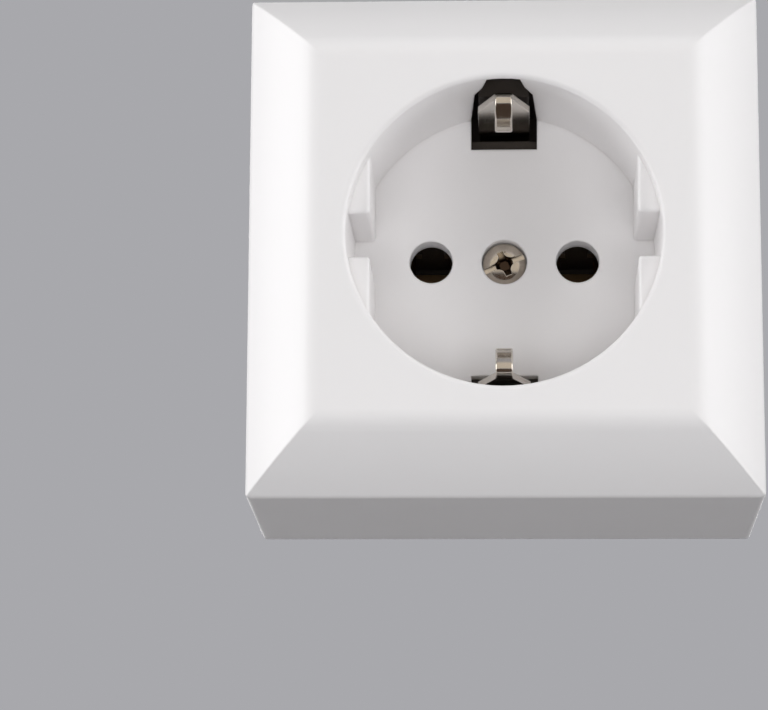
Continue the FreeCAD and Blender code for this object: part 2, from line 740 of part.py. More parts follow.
def make_block():
    """Black moulding on the plate: terminal shelf, deck with contact chambers, stays for the earth clips."""
    body = new_body("contact_block")
    foot = size["plate_thickness"]
    shelf_sketch = new_sketch(body, "XZ_Plane", "ShelfOutline", foot)
    shelf_half = size["shelf_width"] / 2
    rectangle(shelf_sketch, -shelf_half, shelf_half, -tab_end, tab_end)
    pad(body, shelf_sketch, shelf - foot, "Shelf")
    deck_sketch = new_sketch(body, "XZ_Plane", "DeckOutline", foot)
    rectangle(deck_sketch, -deck_x, deck_x, -deck_z, deck_z)
    pad(body, deck_sketch, deck - foot, "Deck")
    dividers = new_sketch(body, "XZ_Plane", "DividerOutline", foot)
    divider_inner = strap_half + size["divider_gap"]
    divider_outer = divider_inner + size["divider_thickness"]
    rectangle(dividers, divider_inner, divider_outer, -tab_end, -deck_z)
    rectangle(dividers, -divider_outer, -divider_inner, -tab_end, -deck_z)
    pad(body, dividers, deck - foot, "Dividers")
    make_stays(body)
    cut_block(body, divider_inner)
    return body


def make_stays(body):
    """T-shaped stay behind each earth clip, on a foot that joins it to the shelf."""
    flange_half = size["tower_width"] / 2
    rib_half = size["tower_rib"] / 2
    rib_inner = clip_outer + size["arm_gap"] + size["nose_fold"] / 2
    for side, name in ((1, "Upper"), (-1, "Lower")):
        foot = new_sketch(body, "XZ_Plane", f"{name}FootOutline", size["plate_thickness"])
        ordered = sorted((tab_end * side, tower_outer * side), key=lambda end: end.value)
        rectangle(foot, -flange_half, flange_half, ordered[0], ordered[1])
        pad(body, foot, shelf - size["plate_thickness"], f"{name}Foot")
        rib = new_sketch(body, "XZ_Plane", f"{name}RibOutline", size["plate_thickness"])
        ordered = sorted((rib_inner * side, tower_outer * side), key=lambda end: end.value)
        rectangle(rib, -rib_half, rib_half, ordered[0], ordered[1])
        pad(body, rib, face - size["tower_rib_drop"] - size["plate_thickness"], f"{name}Rib")
        flange = new_sketch(body, "XZ_Plane", f"{name}FlangeOutline", size["plate_thickness"])
        ordered = sorted((tower_inner * side, tower_outer * side), key=lambda end: end.value)
        rectangle(flange, -flange_half, flange_half, ordered[0], ordered[1])
        top = face - size["hood_wall"] - size["tower_gap"] * 2
        pad(body, flange, top - size["plate_thickness"], f"{name}Flange")


def cut_block(body, strap_room):
    """Everything that is hollow in the contact block."""
    foot = size["plate_thickness"]
    groove_sketch = new_sketch(body, "XZ_Plane", "StrapGroove", deck)
    rectangle(groove_sketch, -strap_room, strap_room, -deck_z, deck_z)
    pocket(body, groove_sketch, size["shelf_drop"], "StrapWay")
    chambers = new_sketch(body, "XZ_Plane", "ChamberOutline", deck)
    gates = new_sketch(body, "XZ_Plane", "GateOutline", deck)
    channels = new_sketch(body, "XZ_Plane", "ChannelOutline", shelf)
    tail_half = size["tail_width"] / 2 + size["chamber_gap"]
    keepers = new_sketch(body, "XZ_Plane", "KeeperHoles", deck)
    sockets = new_sketch(body, "XZ_Plane", "BossSockets", foot)
    for side in (1, -1):
        middle = pin_half * side
        rectangle(chambers, middle - chamber_x, middle + chamber_x, -chamber_z, chamber_z)
        rectangle(gates, middle - tail_half, middle + tail_half, -deck_z, -chamber_z)
        channel_end = -tail_back - size["chamber_gap"]
        rectangle(channels, middle - tail_half, middle + tail_half, channel_end, -chamber_z)
        circle(keepers, size["keeper_spacing"] / 2 * side, 0, size["keeper_radius"] + size["pass_gap"])
        circle(sockets, size["keeper_spacing"] / 2 * side, 0, boss_room)
    pocket(body, chambers, deck - foot, "Chambers")
    pocket(body, gates, size["shelf_drop"], "TabGates")
    pocket(body, channels, shelf - foot, "TailChannels")
    pocket(body, keepers, deck - foot, "KeeperHolePair")
    pocket(body, sockets, size["plate_boss_height"] + size["boss_gap"], "BossSocketPair", back=True)
    nuts = new_sketch(body, "XZ_Plane", "NutPockets", shelf)
    nut_room = size["nut_width"] / 2 + size["nut_gap"]
    for x, z in nut_places():
        rectangle(nuts, x - nut_room, x + nut_room, z - nut_room, z + nut_room)
    pocket(body, nuts, size["nut_height"], "NutPocketSet")
    tips = new_sketch(body, "XZ_Plane", "TerminalTips", shelf - size["nut_height"])
    for x, z in terminal_places():
        circle(tips, x, z, pass_radius)
    pocket(body, tips, size["terminal_reach"] - size["nut_height"] - size["clamp_sheet"], "TerminalTipSet")
    tip = new_sketch(body, "XZ_Plane", "CoverTip", shelf - size["nut_height"])
    circle(tip, 0, 0, pass_radius)
    under_nut = size["cover_reach"] - (cover_seat - shelf) - size["nut_height"]
    pocket(body, tip, under_nut + size["pass_gap"] * 2, "CoverTipHole")
    wells = new_sketch(body, "XZ_Plane", "RivetWells", foot)
    shanks = new_sketch(body, "XZ_Plane", "RivetHoles", shelf)
    for side in (1, -1):
        circle(wells, 0, size["rivet_offset"] * side, size["rivet_room"])
        circle(shanks, 0, size["rivet_offset"] * side, size["rivet_radius"] + size["rivet_gap"])
    pocket(body, wells, shelf - size["rivet_grip"] - foot, "RivetWellPair", back=True)
    pocket(body, shanks, size["rivet_grip"], "RivetHolePair")


def terminal_places():
    """Left, right and earth terminal screws: x and z."""
    return [
        (-pin_half, -size["terminal_offset"]),
        (pin_half, -size["terminal_offset"]),
        (pin_half, size["terminal_offset"]),
    ]


def nut_places():
    return terminal_places() + [(as_size(0), as_size(0))]


def make_retainer():
    """Black plate over the contacts, with two arms that cover the earth strap."""
    body = new_body("contact_retainer")
    sketch = new_sketch(body, "XZ_Plane", "RetainerOutline", deck)
    arm = size["arm_width"] / 2
    tip = clip_inner - size["arm_gap"]
    outline(sketch, [
        (-deck_x, -deck_z), (-arm, -deck_z), (-arm, -tip), (arm, -tip), (arm, -deck_z), (deck_x, -deck_z),
        (deck_x, deck_z), (arm, deck_z), (arm, tip), (-arm, tip), (-arm, deck_z), (-deck_x, deck_z),
    ])
    pad(body, sketch, size["retainer_thickness"], "Sheet")
    holes = new_sketch(body, "XZ_Plane", "RetainerHoles", retainer_front)
    circle(holes, 0, 0, boss_radius + size["retainer_fit"])
    for side in (1, -1):
        circle(holes, pin_half * side, 0, collar_radius + size["retainer_fit"])
    pocket(body, holes, size["retainer_thickness"], "Holes")
    sinks = new_sketch(body, "XZ_Plane", "HeadSinks", retainer_front)
    passages = new_sketch(body, "XZ_Plane", "KeeperHoles", retainer_front)
    for side in (1, -1):
        circle(sinks, size["keeper_spacing"] / 2 * side, 0, size["keeper_head"] + size["pass_gap"])
        circle(passages, size["keeper_spacing"] / 2 * side, 0, size["keeper_radius"] + size["pass_gap"])
    pocket(body, sinks, size["keeper_height"], "HeadSinkPair")
    pocket(body, passages, size["retainer_thickness"], "KeeperHolePair")
    return body


def make_contact(name, side):
    """Brass strip bent into a fork for the pin, with a tail up to its terminal tab."""
    body = new_body(name)
    sheet_half = size["contact_sheet"]
    foot = chamber_floor
    bend = foot + size["root_rise"]
    grip = deck - size["pinch_drop"]
    mouth = deck - size["mouth_drop"]
    inside = [
        (size["contact_root"] / 2 - sheet_half, foot + sheet_half),
        (size["contact_root"] / 2 - sheet_half, bend),
        (size["contact_pinch"] / 2, grip),
        (size["contact_mouth"] / 2, mouth),
    ]
    outside = [
        (size["contact_mouth"] / 2 + sheet_half, mouth),
        (size["contact_pinch"] / 2 + sheet_half, grip),
        (size["contact_root"] / 2, bend),
        (size["contact_root"] / 2, foot),
    ]
    right = [(x, -level) for x, level in inside + outside]
    left = [(-x, level) for x, level in reversed(right)]
    fork = new_sketch(body, "XY_Plane", "ForkProfile")
    outline(fork, right + left)
    pad(body, fork, size["contact_width"], "Fork", both=True)
    # The leaves narrow towards their mouth, so that a pin finds its way in
    corners = new_sketch(body, "YZ_Plane", "LeafCorners")
    wide = size["contact_width"] / 2
    narrow = size["contact_lip"] / 2
    for tier in (1, -1):
        outline(corners, [(-mouth, narrow * tier), (-grip, wide * tier), (-mouth, wide * tier)])
    pocket(body, corners, size["contact_root"] + size["contact_mouth"], "LeafCornerCuts", both=True)
    tail = new_sketch(body, "YZ_Plane", "TailProfile")
    start = -size["contact_width"] / 2
    top = shelf + sheet_half
    outline(tail, [
        (-foot, start), (-foot, -tail_back), (-shelf, -tail_back), (-shelf, -tab_end),
        (-top, -tab_end), (-top, sheet_half - tail_back), (-foot - sheet_half, sheet_half - tail_back),
        (-foot - sheet_half, start),
    ])
    pad(body, tail, size["tail_width"], "Tail", both=True)
    tab = new_sketch(body, "XZ_Plane", "TabOutline", shelf)
    tab_half = size["tab_width"] / 2
    rectangle(tab, -tab_half, tab_half, -tab_end, -deck_z - size["chamber_gap"])
    pad(body, tab, sheet_half, "Tab")
    hole = new_sketch(body, "XZ_Plane", "TabHole", top)
    circle(hole, 0, -size["terminal_offset"], pass_radius)
    pocket(body, hole, sheet_half, "ScrewHole")
    place(body, x=pin_half * side)
    return body


def make_grip_spring(name, side):
    """Steel band round the fork's leaves, open on its upper side."""
    body = new_body(name)
    grip = deck - size["pinch_drop"]
    bend = chamber_floor + size["root_rise"]
    foot_level = grip - size["spring_width"] - size["contact_sheet"]
    # The leaves lean in towards the grip, so the band is sized where they are widest inside it
    lean = (size["contact_root"] / 2 - size["contact_pinch"] / 2 - size["contact_sheet"]) / (grip - bend)
    leaf = size["contact_pinch"] / 2 + size["contact_sheet"] + lean * (grip - foot_level)
    inner_x = leaf + size["spring_gap"]
    outer_x = inner_x + size["spring_sheet"]
    inner_z = size["contact_width"] / 2 + size["spring_gap"]
    outer_z = inner_z + size["spring_sheet"]
    mouth = size["spring_mouth"] / 2
    sketch = new_sketch(body, "XZ_Plane", "BandOutline", foot_level)
    outline(sketch, [
        (mouth, outer_z), (mouth, inner_z), (inner_x, inner_z), (inner_x, -inner_z), (-inner_x, -inner_z),
        (-inner_x, inner_z), (-mouth, inner_z), (-mouth, outer_z), (-outer_x, outer_z), (-outer_x, -outer_z),
        (outer_x, -outer_z), (outer_x, outer_z),
    ])
    pad(body, sketch, size["spring_width"], "Band")
    place(body, x=pin_half * side)
    return body


def make_earth_bracket():
    """Plated strip across the base, bent up at both ends into the earth clips."""
    body = new_body("earth_bracket")
    inner_bend = size["clip_bend"]
    outer_bend = inner_bend + size["strap_sheet"]
    shoulder = face - size["shoulder_drop"]
    strip = new_sketch(body, "YZ_Plane", "StripProfile")
    outline(strip, [
        (-shoulder, clip_inner), (-shoulder, clip_outer),
        (-shelf - outer_bend, clip_outer, outer_bend, -1), (-shelf, clip_outer - outer_bend),
        (-shelf, outer_bend - clip_outer, outer_bend, -1), (-shelf - outer_bend, -clip_outer),
        (-shoulder, -clip_outer), (-shoulder, -clip_inner),
        (-strap_front - inner_bend, -clip_inner, inner_bend, 1), (-strap_front, inner_bend - clip_inner),
        (-strap_front, clip_inner - inner_bend, inner_bend, 1), (-strap_front - inner_bend, clip_inner),
    ])
    pad(body, strip, size["strap_width"], "Strip", both=True)
    nose_half = size["nose_width"] / 2
    fold_level = face - size["nose_top"] - size["nose_fold"] - size["strap_sheet"] / 2
    for side, name in ((1, "Upper"), (-1, "Lower")):
        gable = new_sketch(body, "XY_Plane", f"{name}GableOutline", clip_inner * side)
        outline(gable, [
            (-strap_half, -shoulder), (strap_half, -shoulder),
            (nose_half, -fold_level), (-nose_half, -fold_level),
        ])
        pad(body, gable, size["strap_sheet"], f"{name}Gable", back=side < 0)
        make_nose(body, side, f"{name}Nose", fold_level)
    tab = new_sketch(body, "XZ_Plane", "EarthTabOutline", shelf)
    tab_half = size["tab_width"] / 2
    middle = size["terminal_offset"]
    rectangle(tab, as_size(0), pin_half + size["tab_margin"], middle - tab_half, middle + tab_half)
    pad(body, tab, size["strap_sheet"], "EarthTab")
    holes = new_sketch(body, "XZ_Plane", "StrapHoles", strap_front)
    circle(holes, 0, 0, pass_radius)
    circle(holes, pin_half, middle, pass_radius)
    for side in (1, -1):
        circle(holes, 0, size["rivet_offset"] * side, size["rivet_radius"] + size["rivet_gap"])
    pocket(body, holes, size["strap_sheet"], "Holes")
    return body


def make_nose(body, side, name, fold_level):
    """Spring nose of a clip: folds over, bows back into the recess, curls round and ends free."""
    half = size["strap_sheet"] / 2
    fold = size["nose_fold"]
    tip = size["nose_round"]
    # Degrees that the sheet has turned where the fold ends, where the tip begins and at the free end
    leave = size["nose_slope"] - size["nose_bow"]
    arrive = size["nose_slope"] + size["nose_bow"]
    finish = size["nose_slope"] + size["nose_curl"]
    fold_z = size["clip_offset"] - fold
    tip_z = size["nose_tip"] + tip + half
    # The bow has the one radius that meets both the fold and the tip without a kink
    reach = fold_z - tip_z - fold * sine(leave) + tip * sine(arrive)
    bow = reach / (sine(arrive) - sine(leave))
    tip_level = fold_level + (fold - bow) * cosine(leave) + (bow - tip) * cosine(arrive)

    def corner(z, level):
        return (-level, z * side)

    def around(z, level, radius, turned):
        return corner(z - radius * sine(turned), level + radius * cosine(turned))

    def beyond(radius):
        z = tip_z - radius * sine(finish) - size["nose_end"] * cosine(finish)
        level = tip_level + radius * cosine(finish) - size["nose_end"] * sine(finish)
        return corner(z, level)

    outer = [
        corner(clip_outer, fold_level) + (fold + half, side),
        around(fold_z, fold_level, fold + half, leave) + (bow + half, side),
        around(tip_z, tip_level, tip + half, arrive) + (tip + half, side),
        around(tip_z, tip_level, tip + half, finish),
        beyond(tip + half),
    ]
    inner = [
        beyond(tip - half),
        around(tip_z, tip_level, tip - half, finish) + (tip - half, -side),
        around(tip_z, tip_level, tip - half, arrive) + (bow - half, -side),
        around(fold_z, fold_level, fold - half, leave) + (fold - half, -side),
        corner(clip_inner, fold_level),
    ]
    sketch = new_sketch(body, "YZ_Plane", f"{name}Profile")
    outline(sketch, outer + inner)
    pad(body, sketch, size["nose_width"], name, both=True)

    def on_rim(edge):
        round_edge = edge.Curve.TypeId == "Part::GeomCircle" and edge.CenterOfMass.z * side > 0
        at_side = near(abs(edge.CenterOfMass.x), size["nose_width"].value / 2)
        return round_edge and at_side and near(edge.Curve.Radius, (bow + half).value)

    round_edges(body, size["nose_edge"], f"{name}Edges", on_rim)


def make_clamp(name, x, z, seat, turned):
    """Saddle that presses a wire on its tab: a plate with two wings beside the tab."""
    body = new_body(name)
    inner = size["tab_width"] / 2 + size["clamp_gap"]
    outer = inner + size["clamp_sheet"]
    top = seat + size["clamp_sheet"]
    foot = seat - size["clamp_wing"]
    profile = [
        (outer, -foot), (outer, -top), (-outer, -top), (-outer, -foot),
        (-inner, -foot), (-inner, -seat), (inner, -seat), (inner, -foot),
    ]
    if turned:
        sketch = new_sketch(body, "YZ_Plane", "SaddleProfile")
        outline(sketch, [(level, across) for across, level in profile])
    else:
        sketch = new_sketch(body, "XY_Plane", "SaddleProfile")
        outline(sketch, profile)
    pad(body, sketch, size["clamp_length"], "Saddle", both=True)
    hole = new_sketch(body, "XZ_Plane", "SaddleHole", top)
    circle(hole, 0, 0, pass_radius)
    pocket(body, hole, size["clamp_sheet"], "ScrewHole")
    place(body, x=x, z=z)
    return body


def make_terminal_screw(name, x, z, seat):
    """Cheese-head screw, slotted."""
    body = new_body(name)
    core = size["thread_radius"]
    top = seat + size["head_height"]
    profile = new_sketch(body, "XY_Plane", "ScrewProfile")
    outline(profile, [
        (0, size["terminal_reach"] - seat), (core, size["terminal_reach"] - seat), (core, -seat),
        (size["head_radius"], -seat), (size["head_radius"], -top), (0, -top),
    ])
    revolve("Revolution", body, profile, "Turned")
    cut = new_sketch(body, "XZ_Plane", "SlotCut", top)
    half = size["head_slot"] / 2
    rectangle(cut, -half, half, -size["head_radius"] * 2, size["head_radius"] * 2)
    pocket(body, cut, size["head_slot_depth"], "DriverSlot")
    place(body, x=x, z=z)
    return body


def make_nut(name, x, z):
    """Square nut below the terminal shelf."""
    body = new_body(name)
    half = size["nut_width"] / 2
    sketch = new_sketch(body, "XZ_Plane", "NutOutline", shelf)
    rectangle(sketch, -half, half, -half, half)
    circle(sketch, 0, 0, size["thread_radius"] + size["thread_gap"])
    pad(body, sketch, size["nut_height"], "Nut", back=True)
    place(body, x=x, z=z)
    return body


def make_rivet(name, z):
    """Hollow rivet through the earth strap and the base."""
    body = new_body(name)
    rim = size["rivet_rim"]
    tail = shelf - size["rivet_grip"]
    profile = new_sketch(body, "XY_Plane", "RivetProfile")
    outline(profile, [
        (size["rivet_bore"], -strap_front - rim), (size["rivet_head"], -strap_front - rim),
        (size["rivet_head"], -strap_front), (size["rivet_radius"], -strap_front),
        (size["rivet_radius"], -tail), (size["rivet_head"], -tail),
        (size["rivet_head"], rim - tail), (size["rivet_bore"], rim - tail),
    ])
    revolve("Revolution", body, profile, "Turned")
    place(body, z=z)
    return body


def make_cover_screw():
    """Domed screw in the middle of the recess, with a slot and a cross, turned as it was tightened."""
    body = new_body("cover_screw")
    head = size["cover_head"]
    dome = size["cover_dome"]
    rim_level = cover_seat + size["cover_rim"]
    dome_radius = (head * head + dome * dome) / (dome * 2)
    profile = new_sketch(body, "XY_Plane", "ScrewProfile")
    outline(profile, [
        (0, size["cover_reach"] - cover_seat), (size["thread_radius"], size["cover_reach"] - cover_seat),
        (size["thread_radius"], -cover_seat), (head, -cover_seat), (head, -rim_level, dome_radius, -1),
        (0, -cover_top),
    ])
    revolve("Revolution", body, profile, "Turned")
    cut = new_sketch(body, "XZ_Plane", "SlotCut", cover_top)
    half = size["cover_slot"] / 2
    rectangle(cut, -head * 2, head * 2, -half, half)
    pocket(body, cut, size["cover_slot_depth"], "DriverSlot")
    top = cross_section(body, "CrossTop", cover_top, size["cross_reach"], size["cross_round"])
    foot_level = cover_top - size["cross_depth"]
    foot = cross_section(body, "CrossFoot", foot_level, size["cross_foot"], size["cross_foot_round"])
    before = volume_of(body)
    loft("SubtractiveLoft", body, [top, foot], "DriverCross")
    check_cut(body, "DriverCross", before)
    body.Placement = FreeCAD.Placement(Vector(), FreeCAD.Rotation(Vector(0, -1, 0), size["cover_turn"].value))
    body.setExpression("Placement.Rotation.Angle", size["cover_turn"].text)
    return body


def cross_section(body, name, height, reach, inner_round):
    """Outline of a cross with four equal arms and rounded inner corners."""
    sketch = new_sketch(body, "XZ_Plane", name, height)
    arm = size["cross_arm"]
    bend = arm + inner_round
    outline(sketch, [
        (-reach, -arm), (-bend, -arm, inner_round, -1), (-arm, -bend), (-arm, -reach),
        (arm, -reach), (arm, -bend, inner_round, -1), (bend, -arm), (reach, -arm),
        (reach, arm), (bend, arm, inner_round, -1), (arm, bend), (arm, reach),
        (-arm, reach), (-arm, bend, inner_round, -1), (-bend, arm), (-reach, arm),
    ])
    return sketch


def make_keeper(name, x):
    """Long screw that holds retainer and block on the back plate."""
    body = new_body(name)
    core = size["keeper_radius"]
    seat = retainer_front - size["keeper_height"]
    profile = new_sketch(body, "XY_Plane", "ScrewProfile")
    outline(profile, [
        (0, -keeper_tip), (core, -keeper_tip), (core, -seat),
        (size["keeper_head"], -seat), (size["keeper_head"], -retainer_front), (0, -retainer_front),
    ])
    revolve("Revolution", body, profile, "Turned")
    cut = new_sketch(body, "XZ_Plane", "SlotCut", retainer_front)
    half = size["keeper_slot"] / 2
    rectangle(cut, -half, half, -size["keeper_head"] * 2, size["keeper_head"] * 2)
    pocket(body, cut, size["keeper_slot"], "DriverSlot")
    place(body, x=x)
    return body


def group(name, bodies):
    """Identical fasteners share one node."""
    item = doc.addObject("Part::Compound", name)
    item.Links = bodies
    item.Label = name
    return item


def make_fasteners():
    places = terminal_places()
    brass_seat = shelf + size["contact_sheet"]
    seats = [brass_seat, brass_seat, strap_front]
    names = ["left", "right", "earth"]
    clamps = []
    screws = []
    for name, (x, z), seat in zip(names, places, seats):
        clamps.append(make_clamp(f"{name}_clamp_plate", x, z, seat, turned=name == "earth"))
        screws.append(make_terminal_screw(f"{name}_terminal_screw", x, z, seat + size["clamp_sheet"]))
    nuts = [make_nut(f"square_nut_{number}", x, z) for number, (x, z) in enumerate(nut_places(), start=1)]
    rivets = [
        make_rivet(f"{name}_rivet", size["rivet_offset"] * side)
        for name, side in (("upper", 1), ("lower", -1))
    ]
    keepers = [
        make_keeper(f"{name}_keeper", size["keeper_spacing"] / 2 * side)
        for name, side in (("right", 1), ("left", -1))
    ]
    groups = [
        group("terminal_screws", screws),
        group("square_nuts", nuts),
        group("earth_rivets", rivets),
        group("retainer_screws", keepers),
    ]
    return clamps + groups


subparts = [
    make_hood(), make_back_plate(), make_block(), make_retainer(), make_earth_bracket(), make_cover_screw(),
]
for name, side in (("left", -1), ("right", 1)):
    subparts.append(make_contact(f"{name}_contact", side))
    subparts.append(make_grip_spring(f"{name}_grip_spring", side))
subparts += make_fasteners()
doc.recompute()

for item in doc.Objects:
    if "Invalid" in item.State or "Error" in item.State:
        raise ValueError(f"{item.Label} failed: {item.State}")
for item in subparts:
    if item.Shape.isNull() or not item.Shape.isValid():
        raise ValueError(f"{item.Label} has no sound shape")

os.makedirs("parts", exist_ok=True)
for item in subparts:
    item.Shape.exportStep(f"parts/{item.Label}.step")
    print(f"{item.Label}: {len(item.Shape.Solids)} solids, {item.Shape.Volume:.1f} cubic millimetres")
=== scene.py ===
# %% [markdown]
# # A surface-mounted wall socket
# This lesson dresses a finished CAD model of a household wall socket. The white hood, the black base, the
# brass forks and the plated earth clips already have their real shapes and places. What is added here is
# everything that a buyer sees in a product picture: finishes, soft edges, light and the camera.

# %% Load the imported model
import json
import math

import bpy
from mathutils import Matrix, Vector


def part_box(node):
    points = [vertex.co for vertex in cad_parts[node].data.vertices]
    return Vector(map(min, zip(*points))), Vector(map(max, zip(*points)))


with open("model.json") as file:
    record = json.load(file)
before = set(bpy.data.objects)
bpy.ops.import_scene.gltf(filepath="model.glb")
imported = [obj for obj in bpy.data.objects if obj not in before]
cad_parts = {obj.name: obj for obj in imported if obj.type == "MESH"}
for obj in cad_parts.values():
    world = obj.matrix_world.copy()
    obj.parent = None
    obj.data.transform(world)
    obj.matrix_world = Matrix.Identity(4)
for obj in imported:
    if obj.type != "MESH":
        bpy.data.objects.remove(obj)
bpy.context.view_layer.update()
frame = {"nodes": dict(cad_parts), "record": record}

MM = 0.001
nodes = frame["nodes"]
scene = bpy.context.scene

# %% [markdown]
# ## The camera
# The picture was taken with a long lens from a little below the middle, so that the lower side wall just
# shows. One could turn the camera by eye. Here its place comes from the known distance between the two pin
# holes: with that, the corners of the hood can only look as they do from one spot.

# %% Camera
LENS = 146.36
NEAREST_SEEN = 0.01
CAMERA_PLACE = Vector((1.56, -417.56, -95.13)) * MM
CAMERA_TURN = (101.850, -0.290, 2.427)


def make_camera():
    camera = bpy.data.objects.new("product_camera", bpy.data.cameras.new("product_camera"))
    camera.data.lens = LENS
    camera.data.clip_start = NEAREST_SEEN
    camera.location = CAMERA_PLACE
    camera.rotation_euler = [math.radians(angle) for angle in CAMERA_TURN]
    scene.collection.objects.link(camera)
    return camera


scene.camera = make_camera()
scene.view_settings.view_transform = "Standard"
print(f"lens {LENS} mm, {CAMERA_PLACE.length:.3f} m from the wall plate")

# %% [markdown]
# ## The light
# White plastic shows its form only through small steps of grey, so the light has to come from all round:
# most of it from the two sides, a little from above and from low in front. Four soft panels do that. An
# environment picture could too, but panels can be moved one by one until each bevel has the right grey. The
# side panels stand well back, so that the bevels get more of their light than the flat front. The low panel
# is a reflector that lifts the lower bevel and the recess. It and the high panel are kept out of mirrors,
# where they would be white stripes across the bent clips. A fifth panel lights the back, for whoever turns
# the socket round.

# %% Soft light panels
PANELS = {
    "left_panel": {"place": (-0.645, -0.19, 0.10), "size": (0.55, 0.60), "power": 3.65},
    "right_panel": {"place": (0.625, -0.27, 0.10), "size": (0.55, 0.60), "power": 3.1},
    "high_panel": {"place": (0.0, -0.35, 0.65), "size": (0.70, 0.50), "power": 1.65, "mirrored": False},
    "low_panel": {"place": (0.0, -0.76, -0.22), "size": (0.60, 0.20), "power": 2.1, "mirrored": False},
    "back_panel": {"place": (0.0, 0.75, 0.25), "size": (0.60, 0.50), "power": 4.0},
}
AIM = Vector((0.0, -0.03, 0.0))


def make_panel(name, place, size, power, mirrored=True):
    lamp = bpy.data.lights.new(name, "AREA")
    lamp.shape = "RECTANGLE"
    lamp.size, lamp.size_y = size
    lamp.energy = power
    panel = bpy.data.objects.new(name, lamp)
    panel.location = place
    panel.rotation_euler = (AIM - Vector(place)).to_track_quat("-Z", "Y").to_euler()
    panel.visible_glossy = mirrored
    panel.visible_camera = False
    scene.collection.objects.link(panel)


for panel_name, panel_values in PANELS.items():
    make_panel(panel_name, **panel_values)
print(f"{len(PANELS)} light panels")

# %% [markdown]
# ## Small helpers for nodes
# The background and every finish below are trees of shader nodes. Wiring them by hand in the node editor
# works too, but in a script it takes four lines a node. These helpers bring it down to one: a socket is given
# either a plain value or the output of another node.

# %% Node helpers
FLOAT = "NodeSocketFloat"
VECTOR = "NodeSocketVector"


def join(tree, source, target):
    """Links an output to an input, or sets the input to a plain value."""
    if isinstance(source, bpy.types.NodeSocket):
        tree.links.new(source, target)
    else:
        target.default_value = source


def add_node(tree, kind, sockets=None, **settings):
    node = tree.nodes.new(kind)
    for setting, value in settings.items():
        setattr(node, setting, value)
    for socket, source in (sockets or {}).items():
        join(tree, source, node.inputs[socket])
    return node


def calculate(tree, operation, first, second):
    return add_node(tree, "ShaderNodeMath", {0: first, 1: second}, operation=operation).outputs[0]


def fade(tree, value, start, end, low=0.0, high=1.0):
    """Goes from low to high while the value goes from start to end, and no further."""
    limits = {"Value": value, "From Min": start, "From Max": end, "To Min": low, "To Max": high}
    return add_node(tree, "ShaderNodeMapRange", limits).outputs[0]


def background_rays(tree):
    """Masks for rays that a mirror or glass sends on, and for those together with the camera's own."""
    ray = add_node(tree, "ShaderNodeLightPath").outputs
    mirrored = calculate(tree, "MAXIMUM", ray["Is Glossy Ray"], ray["Is Transmission Ray"])
    return mirrored, calculate(tree, "MAXIMUM", ray["Is Camera Ray"], mirrored)


print("node helpers ready")

# %% [markdown]
# ## The background
# Behind the socket lies one even grey. It is painted into the world for what the camera sees directly and for
# what shows in polished metal, while the soft fill that the world throws on the socket keeps its own level.
# Nickel looks like nickel only if it mirrors something, so in front of the socket, where the camera stands,
# mirrors see the pale warm wall of a studio.

# %% World
BACKDROP = (0.392, 0.392, 0.413, 1.0)
STUDIO_WALL = (0.66, 0.60, 0.52, 1.0)
WALL_STARTS = -0.35
WALL_FULL = -0.65
FILL = (1.0, 1.0, 1.0, 1.0)
FILL_LEVEL = 0.03


def add_background(tree, colour, strength=1.0):
    return add_node(tree, "ShaderNodeBackground", {"Color": colour, "Strength": strength}).outputs[0]


def mix_lights(tree, share, first, second):
    return add_node(tree, "ShaderNodeMixShader", {0: share, 1: first, 2: second}).outputs[0]


def make_world():
    world = bpy.data.worlds.new("studio")
    world.use_nodes = True
    tree = world.node_tree
    tree.nodes.clear()
    heading = add_node(tree, "ShaderNodeTexCoord").outputs["Generated"]
    forward = add_node(tree, "ShaderNodeSeparateXYZ", {0: heading}).outputs["Y"]
    mirrored, seen = background_rays(tree)
    in_front = calculate(tree, "MULTIPLY", mirrored, fade(tree, forward, WALL_STARTS, WALL_FULL))
    room = mix_lights(tree, in_front, add_background(tree, BACKDROP), add_background(tree, STUDIO_WALL))
    light = mix_lights(tree, seen, add_background(tree, FILL, FILL_LEVEL), room)
    add_node(tree, "ShaderNodeOutputWorld", {"Surface": light})
    return world


scene.world = make_world()
print(f"fill light {FILL_LEVEL}")

# %% [markdown]
# ## The floor and the dark mat
# The socket belongs on a wall, so the floor is far below it and out of the main picture. It still matters: it
# keeps light off the lower side, as any table would. Seen from above it should be as pale as the background,
# so camera and mirrors see some of that grey on it, which throws no light on the socket. Photographers lay a
# black card below and in front of shiny things, because a dark band next to a bright one is what makes metal
# look polished. The mat is that card. Only mirrors see it, and the glossy lower wall mirrors it a little.

# %% Floor and mat
FLOOR_COLOUR = (0.34, 0.34, 0.35, 1.0)
FLOOR_ROUGHNESS = 0.8
FLOOR_LEVEL = -0.30
FLOOR_HALF = 1.6
PALE_SHARE = 0.8
CARD_COLOUR = (0.050, 0.030, 0.020, 1.0)
CARD_ROUGHNESS = 0.9
MAT_LIFT = 0.005
MAT_HALF = 0.9
MAT_BACK = 1.4
MAT_FRONT = -1.15


def plain_material(name, colour, roughness):
    material = bpy.data.materials.new(name)
    material.use_nodes = True
    shader = material.node_tree.nodes["Principled BSDF"]
    shader.inputs["Base Color"].default_value = colour
    shader.inputs["Roughness"].default_value = roughness
    return material


def show_pale(material, colour, share):
    """Lets camera and mirrors see a share of a colour on top of the light that the sheet reflects."""
    tree = material.node_tree
    shader = tree.nodes["Principled BSDF"].inputs
    shader["Emission Color"].default_value = colour
    seen = background_rays(tree)[1]
    join(tree, calculate(tree, "MULTIPLY", seen, share), shader["Emission Strength"])


